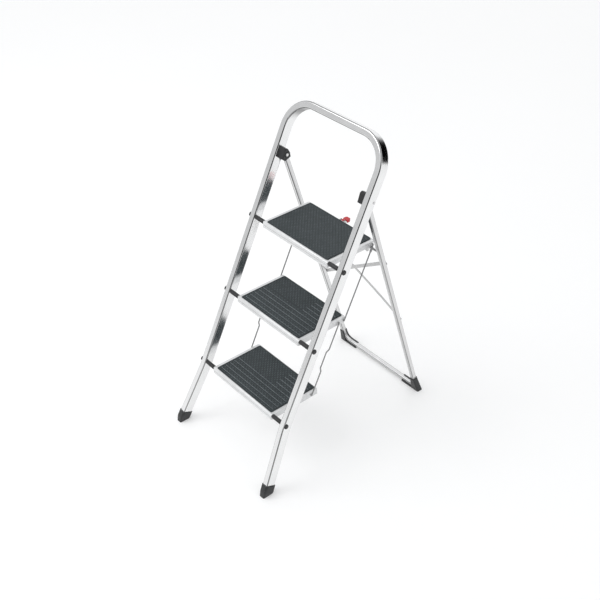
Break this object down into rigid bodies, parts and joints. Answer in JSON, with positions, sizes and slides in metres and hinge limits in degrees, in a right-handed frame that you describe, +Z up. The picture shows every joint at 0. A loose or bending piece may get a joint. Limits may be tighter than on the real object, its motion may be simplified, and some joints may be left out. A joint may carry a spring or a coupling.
{
  "type": "folding step stool",
  "caption": "Folding step stool with rubber-topped treads hung in a one-piece hand-rail hoop, a swing-out rear frame, link wires and a platform latch.",
  "frame": {"origin": "on the floor, at the middle of the stool's plan", "axes": "+Z up, -Y the side one climbs from, +X across the treads"},
  "size_m": [0.467, 0.7326, 1.0367],
  "materials": {
    "rail_aluminium": "bright satin",
    "tray_paint": "pale silver paint",
    "mat_rubber": "ribbed, matt",
    "foot_plastic": "moulded, matt",
    "black_plastic": "moulded",
    "black_metal": "satin black paint",
    "steel": "zinc plated",
    "latch_red": "moulded, slight gloss"
  },
  "bodies": {
    "frame": {"front_hoop": "rail_aluminium", "front_foot_left": "foot_plastic", "front_foot_right": "foot_plastic", "pivot_housing_left": "black_plastic", "pivot_housing_right": "black_plastic", "leg_hinge_pins": "steel", "housing_rivets": "black_metal", "hinge_rod_lower": "steel", "hinge_rod_middle": "steel", "hinge_rod_upper": "steel", "rod_spacers": "black_plastic", "rod_end_caps": "black_plastic"},
    "platform": {"platform_tray": "tray_paint", "platform_mat": "mat_rubber", "bushes_platform": "black_plastic", "hook_plate_left": "steel", "hook_plate_right": "steel", "hook_rivets": "steel", "latch_bracket": "steel", "latch_rivets": "steel", "latch_pin": "steel", "latch_spring": "steel"},
    "latch": {"latch_lever": "latch_red"},
    "middle_step": {"tray_middle": "tray_paint", "mat_middle": "mat_rubber", "bushes_middle": "black_plastic"},
    "lower_step": {"tray_lower": "tray_paint", "mat_lower": "mat_rubber", "bushes_lower": "black_plastic"},
    "rear_frame": {"rear_frame_tube": "rail_aluminium", "rear_foot_left": "foot_plastic", "rear_foot_right": "foot_plastic", "rear_foot_screws": "steel", "brace_strap_a": "steel", "brace_strap_b": "steel", "brace_rivets": "steel", "support_rod": "steel"},
    "link_upper_left": {"upper_link_left": "steel", "ferrule_left": "black_plastic", "clips_upper_left": "steel"},
    "link_upper_right": {"upper_link_right": "steel", "ferrule_right": "black_plastic", "clips_upper_right": "steel"},
    "link_lower_left": {"lower_link_left": "steel", "clips_lower_left": "steel"},
    "link_lower_right": {"lower_link_right": "steel", "clips_lower_right": "steel"}
  },
  "joints": [
    {"name": "platform_fold", "type": "hinge", "parent": "frame", "child": "platform", "pos_m": [0, -0.04082, 0.68], "axis": [1, 0, 0], "range_deg": [0, 59.5]},
    {"name": "middle_fold", "type": "hinge", "parent": "frame", "child": "middle_step", "pos_m": [0, -0.14905, 0.45], "axis": [1, 0, 0], "range_deg": [0, 59.5]},
    {"name": "lower_fold", "type": "hinge", "parent": "frame", "child": "lower_step", "pos_m": [0, -0.25728, 0.22], "axis": [1, 0, 0], "range_deg": [0, 59.5]},
    {"name": "rear_frame_fold", "type": "hinge", "parent": "frame", "child": "rear_frame", "pos_m": [0, 0.06615, 0.86504], "axis": [-1, 0, 0], "range_deg": [0, 37.5]},
    {"name": "upper_link_left_swing", "type": "hinge", "parent": "platform", "child": "link_upper_left", "pos_m": [-0.147, 0.13118, 0.674], "axis": [1, 0, 0], "range_deg": [-59.5, 0]},
    {"name": "upper_link_right_swing", "type": "hinge", "parent": "platform", "child": "link_upper_right", "pos_m": [0.147, 0.13118, 0.674], "axis": [1, 0, 0], "range_deg": [-59.5, 0]},
    {"name": "lower_link_left_swing", "type": "hinge", "parent": "middle_step", "child": "link_lower_left", "pos_m": [-0.147, 0.00295, 0.446], "axis": [1, 0, 0], "range_deg": [-59.5, 0]},
    {"name": "lower_link_right_swing", "type": "hinge", "parent": "middle_step", "child": "link_lower_right", "pos_m": [0.147, 0.00295, 0.446], "axis": [1, 0, 0], "range_deg": [-59.5, 0]},
    {"name": "latch_release", "type": "hinge", "parent": "platform", "child": "latch", "pos_m": [0, 0.15018, 0.676], "axis": [1, 0, 0], "range_deg": [0, 22]}
  ],
  "couplings": [
    {"joint": "middle_fold", "follows": "platform_fold", "ratio": 1},
    {"joint": "lower_fold", "follows": "platform_fold", "ratio": 1},
    {"joint": "rear_frame_fold", "follows": "platform_fold", "ratio": 0.63},
    {"joint": "upper_link_left_swing", "follows": "platform_fold", "ratio": -1},
    {"joint": "upper_link_right_swing", "follows": "platform_fold", "ratio": -1},
    {"joint": "lower_link_left_swing", "follows": "platform_fold", "ratio": -1},
    {"joint": "lower_link_right_swing", "follows": "platform_fold", "ratio": -1}
  ]
}
